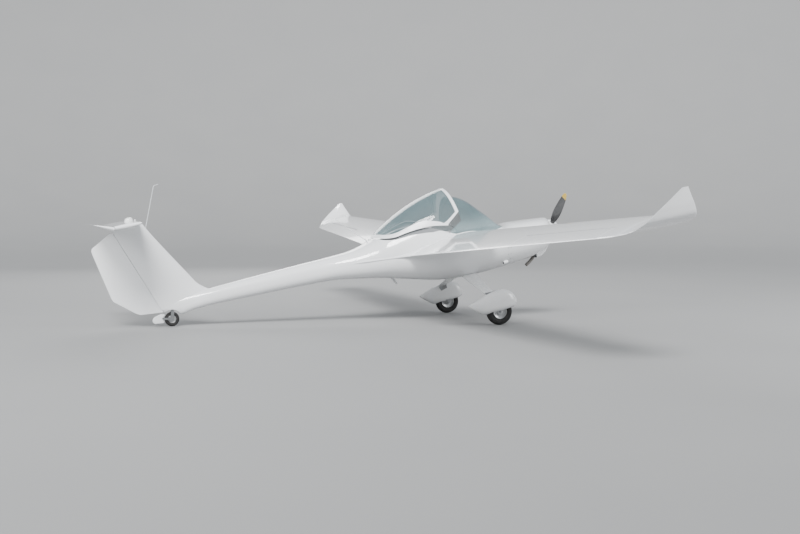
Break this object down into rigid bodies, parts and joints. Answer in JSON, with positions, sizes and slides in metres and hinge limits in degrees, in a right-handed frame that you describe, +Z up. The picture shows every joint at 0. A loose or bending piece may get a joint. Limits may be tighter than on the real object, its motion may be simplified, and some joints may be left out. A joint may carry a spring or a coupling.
{
  "type": "two-seat touring motor glider",
  "caption": "White low-wing T-tail motor glider on tailwheel gear with faired main wheels, nose propeller, upswept wing tips and a side-by-side cockpit whose tinted canopy stands ajar.",
  "frame": {"origin": "centre of the bounding box in plan, on the ground under the wheels", "axes": "+X forward, +Y to port, +Z up"},
  "size_m": [6.7043, 12.9002, 1.9041],
  "materials": {
    "gelcoat": "glossy white moulded skin",
    "canopy_frame": "satin white",
    "glazing": "clear tinted blue-green",
    "propeller_black": "satin black with yellow tips",
    "control_black": "matt black grips",
    "rubber": "matt black",
    "alloy": "satin",
    "steel": "satin",
    "exhaust": "heat-greyed",
    "upholstery": "woven, dark blue-grey",
    "panel": "matt dark grey",
    "probe": "grey-white paint",
    "lamp": "white dome"
  },
  "bodies": {
    "airframe": {"fuselage": "gelcoat", "tail_boom": "gelcoat", "firewall": "gelcoat", "windscreen": "glazing", "seat_port": "upholstery", "stick_port": "control_black", "seat_starboard": "upholstery", "stick_starboard": "control_black", "instrument_panel": "panel", "cowl_upper": "gelcoat", "cowl_lower": "gelcoat", "engine_block": "alloy", "exhaust_pipe": "exhaust", "cabin_vent": "gelcoat", "wing_port": "gelcoat", "wing_starboard": "gelcoat", "tailplane": "gelcoat", "beacon": "lamp", "pressure_probe": "probe", "whip_antenna": "gelcoat", "belly_antenna": "gelcoat", "gear_leg_port": "gelcoat", "axle_port": "steel", "spat_port": "gelcoat", "gear_leg_starboard": "gelcoat", "axle_starboard": "steel", "spat_starboard": "gelcoat"},
    "propeller": {"propeller": "propeller_black", "spinner": "gelcoat"},
    "canopy": {"canopy_frame": "canopy_frame", "canopy_glass": "glazing", "canopy_stay": "steel"},
    "aileron_port": {"aileron_port": "gelcoat"},
    "aileron_starboard": {"aileron_starboard": "gelcoat"},
    "rudder": {"rudder": "gelcoat"},
    "elevator": {"elevator": "gelcoat"},
    "wheel_port": {"rim_port": "alloy", "tyre_port": "rubber"},
    "wheel_starboard": {"rim_starboard": "alloy", "tyre_starboard": "rubber"},
    "tail_steering": {"tail_fork": "steel", "tail_mudguard": "gelcoat"},
    "tail_wheel": {"tail_rim": "alloy", "tail_tyre": "rubber"}
  },
  "joints": [
    {"name": "canopy_hinge", "type": "hinge", "parent": "airframe", "child": "canopy", "pos_m": [0.46547, 0, 1.14497], "axis": [0, -1, 0], "range_deg": [-6, 40]},
    {"name": "propeller_spin", "type": "hinge", "parent": "airframe", "child": "propeller", "pos_m": [3.23964, 0, 1.33785], "axis": [0.9816, 0, 0.1908], "continuous": true},
    {"name": "aileron_port_hinge", "type": "hinge", "parent": "airframe", "child": "aileron_port", "pos_m": [1.28644, 4.72, 1.25958], "axis": [0.0245, 0.9982, 0.0554], "range_deg": [-20, 20]},
    {"name": "aileron_starboard_hinge", "type": "hinge", "parent": "airframe", "child": "aileron_starboard", "pos_m": [1.28644, -4.72, 1.25958], "axis": [-0.0245, 0.9982, -0.0554], "range_deg": [-20, 20]},
    {"name": "rudder_hinge", "type": "hinge", "parent": "airframe", "child": "rudder", "pos_m": [-2.75059, 0, 0.70982], "axis": [-0.5301, 0, 0.8479], "range_deg": [-25, 25]},
    {"name": "elevator_hinge", "type": "hinge", "parent": "airframe", "child": "elevator", "pos_m": [-3.12374, 0, 1.31932], "axis": [0, 1, 0], "range_deg": [-44, 6]},
    {"name": "wheel_port_spin", "type": "hinge", "parent": "airframe", "child": "wheel_port", "pos_m": [1.99978, 1.075, 0.18], "axis": [0, 1, 0], "continuous": true},
    {"name": "wheel_starboard_spin", "type": "hinge", "parent": "airframe", "child": "wheel_starboard", "pos_m": [1.99978, -1.075, 0.18], "axis": [0, 1, 0], "continuous": true},
    {"name": "tail_steer", "type": "hinge", "parent": "airframe", "child": "tail_steering", "pos_m": [-2.25077, 0, 0.10372], "axis": [-0.1908, 0, 0.9816], "range_deg": [-25, 25]},
    {"name": "tail_wheel_spin", "type": "hinge", "parent": "tail_steering", "child": "tail_wheel", "pos_m": [-2.28022, 0, 0.098], "axis": [0, 1, 0], "continuous": true}
  ],
  "couplings": [
    {"joint": "aileron_starboard_hinge", "follows": "aileron_port_hinge", "ratio": -1},
    {"joint": "tail_steer", "follows": "rudder_hinge", "ratio": 1}
  ]
}
